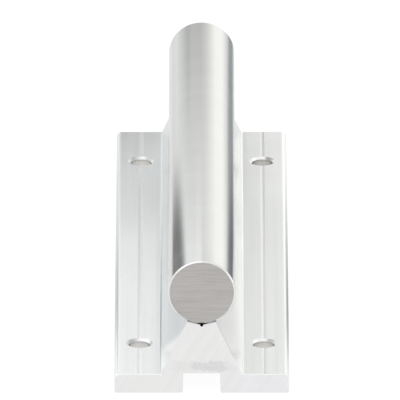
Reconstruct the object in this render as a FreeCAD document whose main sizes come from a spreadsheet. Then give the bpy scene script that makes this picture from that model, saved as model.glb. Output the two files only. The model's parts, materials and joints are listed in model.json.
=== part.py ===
import FreeCAD, Part
import os
import Sketcher

# Supported linear shaft: a round shaft screwed from below to a T-shaped extruded rail.
# Lengths are in millimetres and angles in degrees.
# Origin: middle of the underside of the rail. +Y runs along the shaft, +Z is up.

SIZES = [
    ("shaft_diameter", 20.0, "ground diameter of the shaft"),
    ("shaft_chamfer", 0.5, "chamfer on both ends of the shaft"),
    ("rail_length", 200.0, "length of the rail and of the shaft, which are cut flush"),
    ("axis_height", 32.0, "underside of the rail to the shaft's axis"),
    ("base_width", 52.0, "width of the rail across its flanges"),
    ("flange_thickness", 6.0, "thickness of the flanges"),
    ("flange_round", 1.5, "radius of the upper outer edges of the flanges"),
    ("foot_round", 0.6, "radius of the edges of the underside"),
    ("web_fillet", 0.8, "fillet between the web and the flanges"),
    ("end_break", 0.2, "deburred edge round the sawn ends of the rail"),
    ("web_root_width", 24.3, "width of the web where it meets the flanges"),
    ("web_top_width", 8.6, "width of the web at the seat"),
    ("seat_slope", 15.0, "slope of each side of the V seat, in degrees"),
    ("relief_diameter", 0.9, "round relief along the bottom of the seat"),
    ("groove_width", 1.4, "width of the scribe groove along each row of holes"),
    ("groove_depth", 0.07, "depth of the scribe groove"),
    ("bolt_spacing", 37.0, "spacing of the two rows of mounting holes"),
    ("end_distance", 25.0, "end of the rail to its first mounting holes and shaft screw"),
    ("bolt_hole_diameter", 6.4, "diameter of the mounting holes"),
    ("bolt_hole_chamfer", 0.7, "edge break at the top of the mounting holes"),
    ("screw_diameter", 6.0, "shank of the shaft screws"),
    ("screw_head_diameter", 10.0, "head of the shaft screws"),
    ("screw_head_height", 6.0, "height of the screw head"),
    ("screw_head_edge", 0.5, "bevel round the outer end of the screw head"),
    ("screw_tip_edge", 0.8, "bevel at the tip of the shank"),
    ("socket_flats", 5.0, "hexagon socket across its flats"),
    ("socket_depth", 3.0, "depth of the hexagon socket"),
    ("thread_engagement", 9.2, "length of the shank that lies inside the shaft"),
    ("thread_clearance", 0.05, "radial room between the shank and the tapped hole"),
    ("tap_runout", 1.5, "room past the tip of the shank in the tapped hole"),
    ("drill_point", 118.0, "point angle at the bottom of the tapped hole, in degrees"),
    ("web_hole_clearance", 0.3, "radial room round the shank in the web"),
    ("head_side_clearance", 0.5, "room on each side of the screw head in the channel"),
    ("head_recess", 0.2, "how far the screw head stays inside the underside"),
]

# Sizes that follow from the driving ones
SHAFT_RADIUS = "Sizes.shaft_diameter / 2"
SHAFT_BOTTOM = f"(Sizes.axis_height - {SHAFT_RADIUS})"
SEAT_ANGLE = "Sizes.seat_slope * 1 deg"
SEAT_APEX = f"Sizes.axis_height - {SHAFT_RADIUS} / cos({SEAT_ANGLE})"
SEAT_RISE = f"Sizes.web_top_width / 2 * tan({SEAT_ANGLE})"
CHANNEL_WIDTH = "Sizes.screw_head_diameter + 2 * Sizes.head_side_clearance"
CHANNEL_DEPTH = "(Sizes.screw_head_height + Sizes.head_recess)"
SHANK_LENGTH = f"{SHAFT_BOTTOM} - {CHANNEL_DEPTH} + Sizes.thread_engagement"
HOLE_ROW = "Sizes.rail_length / 2 - Sizes.end_distance"

# Sketcher's own numbers for the two axes, and for the ends of a line and the middle of a circle
H_AXIS, V_AXIS = -1, -2
START, END, CENTRE = 1, 2, 3

# Two places closer than this are taken as the same
NEAR = 1e-3

doc = FreeCAD.newDocument("supported_linear_shaft")


def make_sheet():
    """The spreadsheet of driving sizes: name, value and meaning in each row."""
    sheet = doc.addObject("Spreadsheet::Sheet", "Sizes")
    for row, (alias, value, meaning) in enumerate(SIZES, start=1):
        sheet.set(f"A{row}", alias)
        sheet.set(f"B{row}", str(value))
        sheet.set(f"C{row}", meaning)
        sheet.setAlias(f"B{row}", alias)
    doc.recompute()
    return sheet


def make_body(name):
    """An empty body whose label names its file."""
    body = doc.addObject("PartDesign::Body", name)
    body.Label = name
    return body


def origin_plane(body, role):
    """One of the body's own origin planes, by its role."""
    planes = [feature for feature in body.Origin.OriginFeatures if feature.Role == role]
    return planes[0]


def make_sketch(body, name, role, offset=None):
    """A sketch on an origin plane, raised by an expression where one is given."""
    sketch = body.newObject("Sketcher::SketchObject", name)
    sketch.AttachmentSupport = [(origin_plane(body, role), "")]
    sketch.MapMode = "FlatFace"
    if offset:
        sketch.setExpression("AttachmentOffset.Base.z", offset)
    return sketch


def size(sketch, name, expression, kind, *references):
    """A named dimension of a sketch, bound to the sheet."""
    index = sketch.addConstraint(Sketcher.Constraint(kind, *references, 1.0))
    sketch.renameConstraint(index, name)
    sketch.setExpression("Constraints." + name, expression)


def outline(sketch, points):
    """A closed outline of straight lines through rough points, joined end to start."""
    corners = [FreeCAD.Vector(x, y, 0) for x, y in points]
    for start, end in zip(corners, corners[1:] + corners[:1]):
        sketch.addGeometry(Part.LineSegment(start, end))
    for line in range(len(corners)):
        following = (line + 1) % len(corners)
        sketch.addConstraint(Sketcher.Constraint("Coincident", line, END, following, START))


def level(sketch, *lines):
    """Makes lines of a sketch horizontal."""
    for line in lines:
        sketch.addConstraint(Sketcher.Constraint("Horizontal", line))


def upright(sketch, *lines):
    """Makes lines of a sketch vertical."""
    for line in lines:
        sketch.addConstraint(Sketcher.Constraint("Vertical", line))


def on_axis(sketch, axis, *lines):
    """Puts the starts of lines on an axis of the sketch."""
    for line in lines:
        sketch.addConstraint(Sketcher.Constraint("PointOnObject", line, START, axis))


def circle(sketch, name, diameter, across, along):
    """A circle placed from the sketch's origin by two signed expressions."""
    hole = sketch.addGeometry(Part.Circle(FreeCAD.Vector(1, 1, 0), FreeCAD.Vector(0, 0, 1), 1))
    size(sketch, name + "_diameter", diameter, "Diameter", hole)
    for axis, kind, place in ((V_AXIS, "DistanceX", across), (H_AXIS, "DistanceY", along)):
        if place == "0":
            sketch.addConstraint(Sketcher.Constraint("PointOnObject", hole, CENTRE, axis))
        else:
            size(sketch, f"{name}_{kind}", place, kind, H_AXIS, START, hole, CENTRE)


def cut_along(body, name, sketch):
    """A pocket of the sketch's section along the whole length of the rail."""
    pocket = body.newObject("PartDesign::Pocket", name)
    pocket.Profile = sketch
    pocket.Type = "ThroughAll"
    pocket.SideType = "Symmetric"
    return pocket


def edges_along_rail(shape, places):
    """Names of the straight edges along Y that lie at the given X, on either side, and Z."""
    names = []
    for number, edge in enumerate(shape.Edges, start=1):
        if edge.BoundBox.YLength < NEAR:
            continue
        middle = edge.CenterOfMass
        if any(abs(abs(middle.x) - x) < NEAR and abs(middle.z - z) < NEAR for x, z in places):
            names.append(f"Edge{number}")
    return names


def round_edges(body, name, base, radius, places):
    """A fillet on the edges along the rail at the given places, on both sides."""
    fillet = body.newObject("PartDesign::Fillet", name)
    fillet.Base = (base, edges_along_rail(base.Shape, places))
    fillet.setExpression("Radius", radius)
    doc.recompute()
    return fillet


def break_ends(body, base):
    """A small chamfer all round both sawn ends of the rail."""
    ends = []
    for number, face in enumerate(base.Shape.Faces, start=1):
        if face.BoundBox.YLength < NEAR:
            ends.append(f"Face{number}")
    chamfer = body.newObject("PartDesign::Chamfer", "EndBreak")
    chamfer.Base = (base, ends)
    chamfer.setExpression("Size", "Sizes.end_break")


def draw_rail_section(sketch):
    """The T section with its V seat and underside channel, symmetric about the vertical axis."""
    right = [(5, 0), (26, 0), (26, 6), (12, 6), (4, 23)]
    seat_bottom = (0, 22)
    left = [(-x, z) for x, z in reversed(right)]
    channel_roof = [(-5, 5), (5, 5)]
    outline(sketch, right + [seat_bottom] + left + channel_roof)

    foot, side, flange, flank, seat = range(5)
    seat_left, flank_left, flange_left, side_left, foot_left = range(5, 10)
    wall_left, roof, wall = range(10, 13)
    mirrored = [
        (foot, foot_left), (side, side_left), (flange, flange_left), (flank, flank_left),
        (seat, seat_left), (wall, wall_left),
    ]
    for line, twin in mirrored:
        sketch.addConstraint(Sketcher.Constraint("Symmetric", line, START, twin, END, V_AXIS))
    level(sketch, foot, flange)
    upright(sketch, side, wall)
    on_axis(sketch, H_AXIS, foot)
    on_axis(sketch, V_AXIS, seat_left)
    size(sketch, "base_width", "Sizes.base_width", "DistanceX", side_left, END, side, START)
    size(sketch, "flange_thickness", "Sizes.flange_thickness", "DistanceY", side, START, side, END)
    size(sketch, "web_root", "Sizes.web_root_width", "DistanceX", flank_left, END, flank, START)
    size(sketch, "web_top", "Sizes.web_top_width", "DistanceX", seat_left, END, seat, START)
    size(sketch, "seat_apex", SEAT_APEX, "DistanceY", H_AXIS, START, seat, END)
    size(sketch, "seat_rise", SEAT_RISE, "DistanceY", seat, END, seat, START)
    size(sketch, "channel_width", CHANNEL_WIDTH, "DistanceX", foot_left, END, foot, START)
    size(sketch, "channel_depth", CHANNEL_DEPTH, "DistanceY", wall, END, wall, START)


def cut_scribe_grooves(body):
    """A shallow V groove along the middle of each row of mounting holes."""
    sketch = make_sketch(body, "ScribeSection", "XZ_Plane")
    outline(sketch, [(17, 6), (20, 6), (18, 5)])
    top, right, left = range(3)
    level(sketch, top)
    sketch.addConstraint(Sketcher.Constraint("Equal", right, left))
    size(sketch, "width", "Sizes.groove_width", "DistanceX", top, START, top, END)
    size(sketch, "depth", "Sizes.groove_depth", "DistanceY", right, END, right, START)
    size(sketch, "height", "Sizes.flange_thickness", "DistanceY", H_AXIS, START, top, START)
    size(sketch, "middle", "Sizes.bolt_spacing / 2", "DistanceX", H_AXIS, START, right, END)
    groove = cut_along(body, "ScribeGroove", sketch)
    pair = body.newObject("PartDesign::Mirrored", "ScribeGrooves")
    pair.Originals = [groove]
    pair.MirrorPlane = (origin_plane(body, "YZ_Plane"), [""])
    body.Tip = pair


def drill_mounting_holes(body):
    """Four through holes in the flanges with a broken upper edge."""
    sketch = make_sketch(body, "MountingHolePlan", "XY_Plane", "Sizes.flange_thickness")
    half_spacing = "Sizes.bolt_spacing / 2"
    for end, along in (("front", f"-({HOLE_ROW})"), ("rear", HOLE_ROW)):
        for side, across in (("left", f"-{half_spacing}"), ("right", half_spacing)):
            circle(sketch, f"{end}_{side}", "Sizes.bolt_hole_diameter", across, along)
    doc.recompute()
    hole = body.newObject("PartDesign::Hole", "MountingHoles")
    hole.Profile = sketch
    hole.ThreadType = "None"
    hole.DepthType = "ThroughAll"
    hole.HoleCutType = "Countersink"
    hole.HoleCutCustomValues = True
    hole.HoleCutCountersinkAngle = 90
    hole.setExpression("Diameter", "Sizes.bolt_hole_diameter")
    hole.setExpression("HoleCutDiameter", "Sizes.bolt_hole_diameter + 2 * Sizes.bolt_hole_chamfer")


def drill_screw_holes(body):
    """Clearance holes for the shaft screws, from the channel up through the seat."""
    sketch = make_sketch(body, "ScrewHolePlan", "XY_Plane")
    diameter = "Sizes.screw_diameter + 2 * Sizes.web_hole_clearance"
    circle(sketch, "front", diameter, "0", f"-({HOLE_ROW})")
    circle(sketch, "rear", diameter, "0", HOLE_ROW)
    holes = body.newObject("PartDesign::Pocket", "ScrewHoles")
    holes.Profile = sketch
    holes.Type = "ThroughAll"
    holes.Reversed = True


def make_support_rail(sheet):
    """The extruded rail, cut to length and drilled."""
    body = make_body("support_rail")
    section = make_sketch(body, "RailSection", "XZ_Plane")
    draw_rail_section(section)
    extrusion = body.newObject("PartDesign::Pad", "RailExtrusion")
    extrusion.Profile = section
    extrusion.SideType = "Symmetric"
    extrusion.setExpression("Length", "Sizes.rail_length")
    doc.recompute()

    half_base = sheet.base_width / 2
    half_root = sheet.web_root_width / 2
    half_channel = sheet.screw_head_diameter / 2 + sheet.head_side_clearance
    flange_edges = [(half_base, sheet.flange_thickness)]
    root_edges = [(half_root, sheet.flange_thickness)]
    foot_edges = [(half_base, 0), (half_channel, 0)]
    flange_round = round_edges(body, "FlangeRound", extrusion, "Sizes.flange_round", flange_edges)
    web_fillet = round_edges(body, "WebFillet", flange_round, "Sizes.web_fillet", root_edges)
    foot_round = round_edges(body, "FootRound", web_fillet, "Sizes.foot_round", foot_edges)
    break_ends(body, foot_round)

    relief = make_sketch(body, "ReliefSection", "XZ_Plane")
    circle(relief, "relief", "Sizes.relief_diameter", "0", SEAT_APEX)
    cut_along(body, "SeatRelief", relief)
    cut_scribe_grooves(body)
    drill_mounting_holes(body)
    drill_screw_holes(body)
    return body


def make_linear_shaft():
    """The shaft, turned about its own axis, with blind tapped holes from below."""
    body = make_body("linear_shaft")
    profile = make_sketch(body, "ShaftProfile", "YZ_Plane")
    outline(profile, [(-90, 0), (90, 0), (90, 9), (89, 10), (-89, 10), (-90, 9)])
    axis, rear_face, rear_chamfer, barrel, front_chamfer, front_face = range(6)
    level(profile, barrel)
    upright(profile, front_face, rear_face)
    on_axis(profile, H_AXIS, axis)
    profile.addConstraint(Sketcher.Constraint("Symmetric", axis, START, axis, END, V_AXIS))
    size(profile, "length", "Sizes.rail_length", "DistanceX", axis, START, axis, END)
    size(profile, "radius", SHAFT_RADIUS, "DistanceY", H_AXIS, START, barrel, START)
    chamfers = (("rear", rear_chamfer, START, END), ("front", front_chamfer, END, START))
    for end, chamfer, inner, outer in chamfers:
        size(profile, end + "_rise", "Sizes.shaft_chamfer", "DistanceY", chamfer, inner, chamfer, outer)
        size(profile, end + "_run", "Sizes.shaft_chamfer", "DistanceX", chamfer, END, chamfer, START)
    turning = body.newObject("PartDesign::Revolution", "ShaftTurning")
    turning.Profile = profile
    turning.ReferenceAxis = (profile, ["H_Axis"])
    turning.Angle = 360

    plan = make_sketch(body, "TapPlan", "XY_Plane", f"-{SHAFT_RADIUS}")
    bore = "Sizes.screw_diameter + 2 * Sizes.thread_clearance"
    circle(plan, "front", bore, "0", f"-({HOLE_ROW})")
    circle(plan, "rear", bore, "0", HOLE_ROW)
    doc.recompute()
    taps = body.newObject("PartDesign::Hole", "TappedHoles")
    taps.Profile = plan
    taps.ThreadType = "None"
    taps.Reversed = True
    taps.DepthType = "Dimension"
    taps.DrillPoint = "Angled"
    taps.setExpression("DrillPointAngle", "Sizes.drill_point")
    taps.setExpression("Diameter", bore)
    taps.setExpression("Depth", "Sizes.thread_engagement + Sizes.tap_runout")
    body.setExpression("Placement.Base.z", "Sizes.axis_height")
    return body


def make_shaft_screw(name, row):
    """A socket head cap screw, head down, with the face under its head on its own XY plane."""
    body = make_body(name)
    profile = make_sketch(body, "ScrewProfile", "XZ_Plane")
    outline(profile, [(0, -6), (4, -6), (5, -5), (5, 0), (3, 0), (3, 20), (2, 21), (0, 21)])
    crown, crown_edge, head_side, bearing_face, shank, tip_edge, tip, axis = range(8)
    level(profile, crown, bearing_face, tip)
    upright(profile, head_side, shank, axis)
    on_axis(profile, V_AXIS, crown)
    on_axis(profile, H_AXIS, bearing_face)
    head_radius = "Sizes.screw_head_diameter / 2"
    size(profile, "head_radius", head_radius, "DistanceX", H_AXIS, START, head_side, START)
    size(profile, "head_height", "Sizes.screw_head_height", "DistanceY", crown, START, H_AXIS, START)
    size(profile, "crown_rise", "Sizes.screw_head_edge", "DistanceY", crown_edge, START, crown_edge, END)
    size(profile, "crown_run", "Sizes.screw_head_edge", "DistanceX", crown_edge, START, crown_edge, END)
    size(profile, "shank_radius", "Sizes.screw_diameter / 2", "DistanceX", H_AXIS, START, shank, START)
    size(profile, "shank_length", SHANK_LENGTH, "DistanceY", H_AXIS, START, tip, START)
    size(profile, "tip_rise", "Sizes.screw_tip_edge", "DistanceY", tip_edge, START, tip_edge, END)
    size(profile, "tip_run", "Sizes.screw_tip_edge", "DistanceX", tip_edge, END, tip_edge, START)
    turning = body.newObject("PartDesign::Revolution", "ScrewTurning")
    turning.Profile = profile
    turning.ReferenceAxis = (profile, ["V_Axis"])
    turning.Angle = 360

    socket = make_sketch(body, "SocketPlan", "XY_Plane", "-Sizes.screw_head_height")
    draw_hexagon(socket)
    recess = body.newObject("PartDesign::Pocket", "HexSocket")
    recess.Profile = socket
    recess.Reversed = True
    recess.setExpression("Length", "Sizes.socket_depth")

    body.setExpression("Placement.Base.y", row)
    body.setExpression("Placement.Base.z", CHANNEL_DEPTH)
    return body


def draw_hexagon(sketch):
    """A regular hexagon about the origin, by its width across flats."""
    outline(sketch, [(3, 0), (1, 2), (-1, 2), (-3, 0), (-1, -2), (1, -2)])
    round_corners = sketch.addGeometry(Part.Circle(FreeCAD.Vector(0, 0, 0), FreeCAD.Vector(0, 0, 1), 3), True)
    sketch.addConstraint(Sketcher.Constraint("Coincident", round_corners, CENTRE, H_AXIS, START))
    for side in range(6):
        sketch.addConstraint(Sketcher.Constraint("PointOnObject", side, START, round_corners))
    for side in range(1, 6):
        sketch.addConstraint(Sketcher.Constraint("Equal", 0, side))
    on_axis(sketch, H_AXIS, 0)
    size(sketch, "corners", "Sizes.socket_flats / cos(30 deg)", "Diameter", round_corners)


def check_document(bodies):
    """Stops if an object failed to build or a piece isn't one valid solid."""
    for item in doc.Objects:
        if "Invalid" in item.State or "Error" in item.State:
            raise RuntimeError(f"{item.Label} did not build: {item.State}")
    for body in bodies:
        shape = body.Shape
        if shape.isNull() or not shape.isValid() or len(shape.Solids) != 1:
            raise RuntimeError(f"{body.Label} is not one valid solid")


def export(bodies):
    """Writes each piece to its own file."""
    os.makedirs("parts", exist_ok=True)
    for body in bodies:
        body.Shape.exportStep(f"parts/{body.Label}.step")


sizes = make_sheet()
pieces = [
    make_support_rail(sizes),
    make_linear_shaft(),
    make_shaft_screw("shaft_screw_front", f"-({HOLE_ROW})"),
    make_shaft_screw("shaft_screw_rear", HOLE_ROW),
]
doc.recompute()
check_document(pieces)
export(pieces)
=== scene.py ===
"""Finish, screws, studio and camera for a supported linear shaft."""

import json
import math
from types import SimpleNamespace

import bmesh
import bpy
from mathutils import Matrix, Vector


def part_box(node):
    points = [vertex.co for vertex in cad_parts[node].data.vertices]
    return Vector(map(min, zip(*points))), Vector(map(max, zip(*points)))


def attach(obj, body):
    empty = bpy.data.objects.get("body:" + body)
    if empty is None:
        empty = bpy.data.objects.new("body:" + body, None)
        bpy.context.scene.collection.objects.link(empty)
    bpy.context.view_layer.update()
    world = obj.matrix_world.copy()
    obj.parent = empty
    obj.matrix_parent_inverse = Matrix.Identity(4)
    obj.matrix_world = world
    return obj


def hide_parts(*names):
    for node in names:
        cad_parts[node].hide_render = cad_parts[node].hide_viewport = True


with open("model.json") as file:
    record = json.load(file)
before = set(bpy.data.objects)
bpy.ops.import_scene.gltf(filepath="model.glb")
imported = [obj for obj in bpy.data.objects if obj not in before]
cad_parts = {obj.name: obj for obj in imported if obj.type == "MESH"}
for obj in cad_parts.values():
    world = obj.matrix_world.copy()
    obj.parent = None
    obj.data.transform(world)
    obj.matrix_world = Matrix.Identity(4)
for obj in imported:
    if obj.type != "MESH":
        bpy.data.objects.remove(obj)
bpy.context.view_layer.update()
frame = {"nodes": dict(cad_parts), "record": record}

# Sizes read from the frame, in metres unless the name says millimetres
MM = 0.001
rail_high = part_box("support_rail")[1]
screw_low, screw_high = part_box("shaft_screw_front")
rear_screw_low, rear_screw_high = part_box("shaft_screw_rear")
mounts = {mount["name"]: mount for mount in frame["record"]["mounts"]}
bolt_pattern = mounts["base_bolts"]["dims"]
HOLE_SIDE_MM = bolt_pattern["spacing_x_mm"] / 2
HOLE_ROW_MM = bolt_pattern["spacing_y_mm"] / 2
HOLE_RADIUS_MM = bolt_pattern["hole_r_mm"]
HALF_LENGTH_MM = rail_high.y / MM
SHAFT_AXIS_MM = mounts["bearing_way"]["pos_m"][2] / MM

# Other sizes of the rail, in millimetres
FLANGE_TOP_MM = 6.0
HOLE_CHAMFER_MM = 0.7
GROOVE_HALF_WIDTH_MM = 0.7


# Node helpers

def add_node(tree, kind, **settings):
    """A new node of the tree, with its properties set by name."""
    node = tree.nodes.new(kind)
    for name, value in settings.items():
        setattr(node, name, value)
    return node


def join(tree, value, socket):
    """Links a socket, or sets a plain value."""
    if isinstance(value, bpy.types.NodeSocket):
        tree.links.new(value, socket)
    else:
        socket.default_value = value


def maths(tree, operation, *values):
    node = add_node(tree, "ShaderNodeMath", operation=operation)
    for value, socket in zip(values, node.inputs):
        join(tree, value, socket)
    return node.outputs[0]


def vector_maths(tree, operation, *values):
    node = add_node(tree, "ShaderNodeVectorMath", operation=operation)
    for value, socket in zip(values, node.inputs):
        join(tree, value, socket)
    return node.outputs["Value"] if operation in ("LENGTH", "DOT_PRODUCT") else node.outputs["Vector"]


def ramp(tree, value, low, high, to_low=0.0, to_high=1.0, course="SMOOTHSTEP"):
    """A smooth step from low to high, between two results, or a straight one for a LINEAR course."""
    node = add_node(tree, "ShaderNodeMapRange", interpolation_type=course)
    for socket, number in zip(node.inputs, (value, low, high, to_low, to_high)):
        join(tree, number, socket)
    return node.outputs["Result"]


def window(tree, value, low, low_full, high_full, high):
    """1 between the two full values, falling smoothly to 0 at low and at high."""
    return maths(tree, "MULTIPLY", ramp(tree, value, low, low_full), ramp(tree, value, high, high_full))


def product(tree, first, *others):
    result = first
    for value in others:
        result = maths(tree, "MULTIPLY", result, value)
    return result


def noise(tree, place, scale, detail=3.0, roughness=0.55):
    node = add_node(tree, "ShaderNodeTexNoise")
    join(tree, place, node.inputs["Vector"])
    join(tree, scale, node.inputs["Scale"])
    node.inputs["Detail"].default_value = detail
    node.inputs["Roughness"].default_value = roughness
    return node.outputs["Fac"]


def blend_colours(tree, share, first, second):
    node = add_node(tree, "ShaderNodeMix", data_type="RGBA")
    join(tree, share, node.inputs["Factor"])
    join(tree, first, node.inputs["A"])
    join(tree, second, node.inputs["B"])
    return node.outputs["Result"]


def blend_values(tree, share, first, second):
    node = add_node(tree, "ShaderNodeMix", data_type="FLOAT")
    join(tree, share, node.inputs["Factor"])
    join(tree, first, node.inputs["A"])
    join(tree, second, node.inputs["B"])
    return node.outputs["Result"]


def grey(level, tint=(1.0, 1.0, 1.0)):
    return tuple(level * part for part in tint) + (1.0,)


def place_in_mm(tree):
    """Object coordinates in millimetres."""
    coordinates = add_node(tree, "ShaderNodeTexCoord")
    mapping = add_node(tree, "ShaderNodeMapping")
    mapping.inputs["Scale"].default_value = (1 / MM, 1 / MM, 1 / MM)
    tree.links.new(coordinates.outputs["Object"], mapping.inputs["Vector"])
    return mapping.outputs["Vector"]


def split(tree, vector):
    node = add_node(tree, "ShaderNodeSeparateXYZ")
    join(tree, vector, node.inputs[0])
    return node.outputs[0], node.outputs[1], node.outputs[2]


def combine(tree, across=0.0, along=0.0, up=0.0):
    node = add_node(tree, "ShaderNodeCombineXYZ")
    for value, socket in zip((across, along, up), node.inputs):
        join(tree, value, socket)
    return node.outputs[0]


def new_group(name, inputs, outputs):
    """An empty shader node group; inputs are (name, kind, default) and outputs (name, kind)."""
    group = bpy.data.node_groups.new(name, "ShaderNodeTree")
    for label, kind, default in inputs:
        socket = group.interface.new_socket(label, in_out="INPUT", socket_type=kind)
        if default is not None:
            socket.default_value = default
    for label, kind in outputs:
        group.interface.new_socket(label, in_out="OUTPUT", socket_type=kind)
    entry = group.nodes.new("NodeGroupInput")
    leave = group.nodes.new("NodeGroupOutput")
    return group, entry.outputs, leave.inputs


def use_group(tree, group, **values):
    node = add_node(tree, "ShaderNodeGroup", node_tree=group)
    for label, value in values.items():
        join(tree, value, node.inputs[label.replace("_", " ")])
    return node.outputs


def new_material(name):
    material = bpy.data.materials.new(name)
    material.use_nodes = True
    tree = material.node_tree
    return material, tree, tree.nodes["Principled BSDF"]


# Shared effects

def make_tool_lines():
    """Fine parallel lines with broader bands among them, along the stretched direction of the place."""
    group, given, result = new_group(
        "tool_lines",
        [("Place", "NodeSocketVector", None), ("Lines", "NodeSocketFloat", 4.0),
         ("Bands", "NodeSocketFloat", 0.6), ("Band share", "NodeSocketFloat", 0.5)],
        [("Value", "NodeSocketFloat")])
    fine = noise(group, given["Place"], given["Lines"], detail=4.0, roughness=0.65)
    broad = noise(group, given["Place"], given["Bands"], detail=2.0)
    mixed = blend_values(group, given["Band share"], fine, broad)
    join(group, ramp(group, mixed, 0.3, 0.7), result["Value"])
    return group


def make_handling_marks():
    """Soft cloudy smears, and a few short scratches, from wiping and handling."""
    group, given, result = new_group(
        "handling_marks",
        [("Place", "NodeSocketVector", None), ("Smear size", "NodeSocketFloat", 0.06),
         ("Scratch size", "NodeSocketFloat", 0.5)],
        [("Smears", "NodeSocketFloat"), ("Scratches", "NodeSocketFloat")])
    cloud = noise(group, given["Place"], given["Smear size"], detail=5.0, roughness=0.6)
    join(group, ramp(group, cloud, 0.35, 0.68), result["Smears"])
    warped = vector_maths(group, "MULTIPLY", given["Place"], (1.0, 0.12, 1.0))
    cells = noise(group, warped, given["Scratch size"], detail=1.0)
    ridge = maths(group, "ABSOLUTE", maths(group, "SUBTRACT", cells, 0.5))
    thin = ramp(group, ridge, 0.0, 0.012, 1.0, 0.0)
    patches = ramp(group, noise(group, given["Place"], 0.11), 0.56, 0.66)
    join(group, maths(group, "MULTIPLY", thin, patches), result["Scratches"])
    return group


def make_worn_edges():
    """Where an edge turns sharply, broken up by a little noise."""
    group, given, result = new_group(
        "worn_edges",
        [("Place", "NodeSocketVector", None), ("Width", "NodeSocketFloat", 0.3 * MM),
         ("Breakup", "NodeSocketFloat", 1.5)],
        [("Mask", "NodeSocketFloat")])
    bevel = add_node(group, "ShaderNodeBevel", samples=6)
    join(group, given["Width"], bevel.inputs["Radius"])
    geometry = add_node(group, "ShaderNodeNewGeometry")
    turned = vector_maths(group, "DOT_PRODUCT", bevel.outputs["Normal"], geometry.outputs["Normal"])
    edge = ramp(group, turned, 0.99, 0.9)
    chips = ramp(group, noise(group, given["Place"], given["Breakup"]), 0.3, 0.6)
    join(group, maths(group, "MULTIPLY", edge, chips), result["Mask"])
    return group


tool_lines = make_tool_lines()
handling_marks = make_handling_marks()
worn_edges = make_worn_edges()


# Finishes

# Tones of the aluminium rail
DIE_LINE_DARK = grey(0.79, (0.985, 1.0, 1.0))
DIE_LINE_LIGHT = grey(0.87, (0.99, 1.0, 0.995))
SMEAR_LEFT = grey(0.86, (0.965, 1.0, 1.015))
SMEAR_RIGHT = grey(0.86, (0.985, 1.0, 0.99))
# Painted sheen: lighter stretches of the flange tops
SHEEN_FLANGE = grey(0.96, (0.99, 1.0, 0.99))
# Painted shade on the outer rear of the left flange
SHADED_FLANGE = grey(0.74)
SAWN_DARK = grey(0.87, (1.0, 0.995, 0.985))
SAWN_DARK_COOL = grey(0.87, (1.0, 1.0, 1.025))
SAWN_LIGHT = grey(0.94)
SAWN_LIGHT_COOL = grey(0.94, (1.0, 1.0, 1.025))
SCUFFED = grey(0.76)
BORED_DARK = grey(0.86, (1.0, 0.99, 0.965))
BORED_LIGHT = grey(0.95, (1.0, 0.995, 0.98))
# Painted shade in the walls of the right holes, strongest at the rear
HOLE_SHADE = grey(0.68, (1.0, 0.99, 0.96))
# Painted shade: a dark line just below each hole's chamfer
HOLE_RIM_SHADE = grey(0.6)
# Painted highlight on the hole chamfers
HOLE_CHAMFER = grey(0.98)
WORN_EDGE = grey(0.95)
# Painted shade in the web's roots, darker still towards the front of the left root
RIGHT_ROOT_SHADE = grey(0.78)
LEFT_ROOT_SHADE = grey(0.77, (0.985, 1.0, 1.01))
ROOT_DARK_SHADE = grey(0.6, (0.97, 1.0, 1.02))
# Painted shade on the left flank, a painted highlight at its lower front corner and painted light on the
# right flank
FLANK_SHADE_REAR = grey(0.73, (0.985, 1.0, 1.0))
FLANK_SHADE_FRONT = grey(0.665, (0.96, 0.99, 1.015))
FLANK_CORNER_HIGHLIGHT = grey(0.9)
FLANK_RIGHT_LIGHT = grey(0.97, (1.0, 1.0, 0.985))
# Painted light and shade on the walls of the scribe grooves
RIGHT_GROOVE_REAR = grey(0.9)
RIGHT_GROOVE_FRONT = grey(0.69)
RIGHT_GROOVE_INNER = grey(0.82)
OUTER_WALL_REAR = grey(0.93)
OUTER_WALL_MIDDLE = grey(0.82)
OUTER_WALL_FRONT = grey(0.86)
INNER_WALL_REAR = grey(0.97)
INNER_WALL_MIDDLE = grey(0.86)
INNER_WALL_FRONT = grey(0.81)
# Painted light and shade on the broken edges of the ends, and a painted highlight along the flanges
LEFT_WEB_EDGE_LIGHT = grey(0.88)
RIGHT_WEB_EDGE_LIGHT = grey(0.93)
RIGHT_WEB_EDGE_SHADE = grey(0.64)
FLANGE_EDGE_HIGHLIGHT = grey(0.98)

# Tones of the shaft and of the screws
GROUND_DARK = grey(0.59, (1.0, 1.0, 0.985))
GROUND_LIGHT = grey(0.62, (1.0, 1.0, 0.985))
# Painted highlight: the turned chamfers are lighter than the ground body
SHAFT_CHAMFER = grey(0.9, (1.0, 1.0, 0.99))
SHAFT_FACE_DARK = grey(0.455, (1.0, 0.965, 0.935))
SHAFT_FACE_LIGHT = grey(0.57, (1.0, 0.97, 0.945))
OXIDE_DARK = grey(0.035, (1.0, 1.0, 1.1))
OXIDE_LIGHT = grey(0.06, (1.0, 0.99, 1.02))
OXIDE_SMEAR = grey(0.085, (1.0, 0.95, 0.9))
BARE_STEEL = grey(0.42, (1.0, 0.98, 0.95))

# Places on the rail and on the shaft, in millimetres
SAW_BLADE_CENTRE = (132.0, 0.0, -70.0)
END_FACE_DEPTH = 0.07
END_STEP = 0.05
SHAFT_CHAMFER_DEPTH = 0.45

# How strongly the marks cover what is below them
SMEAR_SHARE = 0.5
SHEEN_LEFT_SHARE = 0.6
SHEEN_FRONT_SHARE = 0.5
SHEEN_RIGHT_SHARE = 0.4
SHADED_FLANGE_SHARE = 0.5
WEAK_SCUFF_SHARE = 0.35
HOLE_SHADE_SHARES = (0.05, 0.35)
RIM_SHADE_SHARE = 0.5
WORN_EDGE_SHARE = 0.5
LEFT_SHADE_SHARE = 0.85
OXIDE_SMEAR_SHARE = 0.4
BARE_EDGE_SHARE = 0.55

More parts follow.
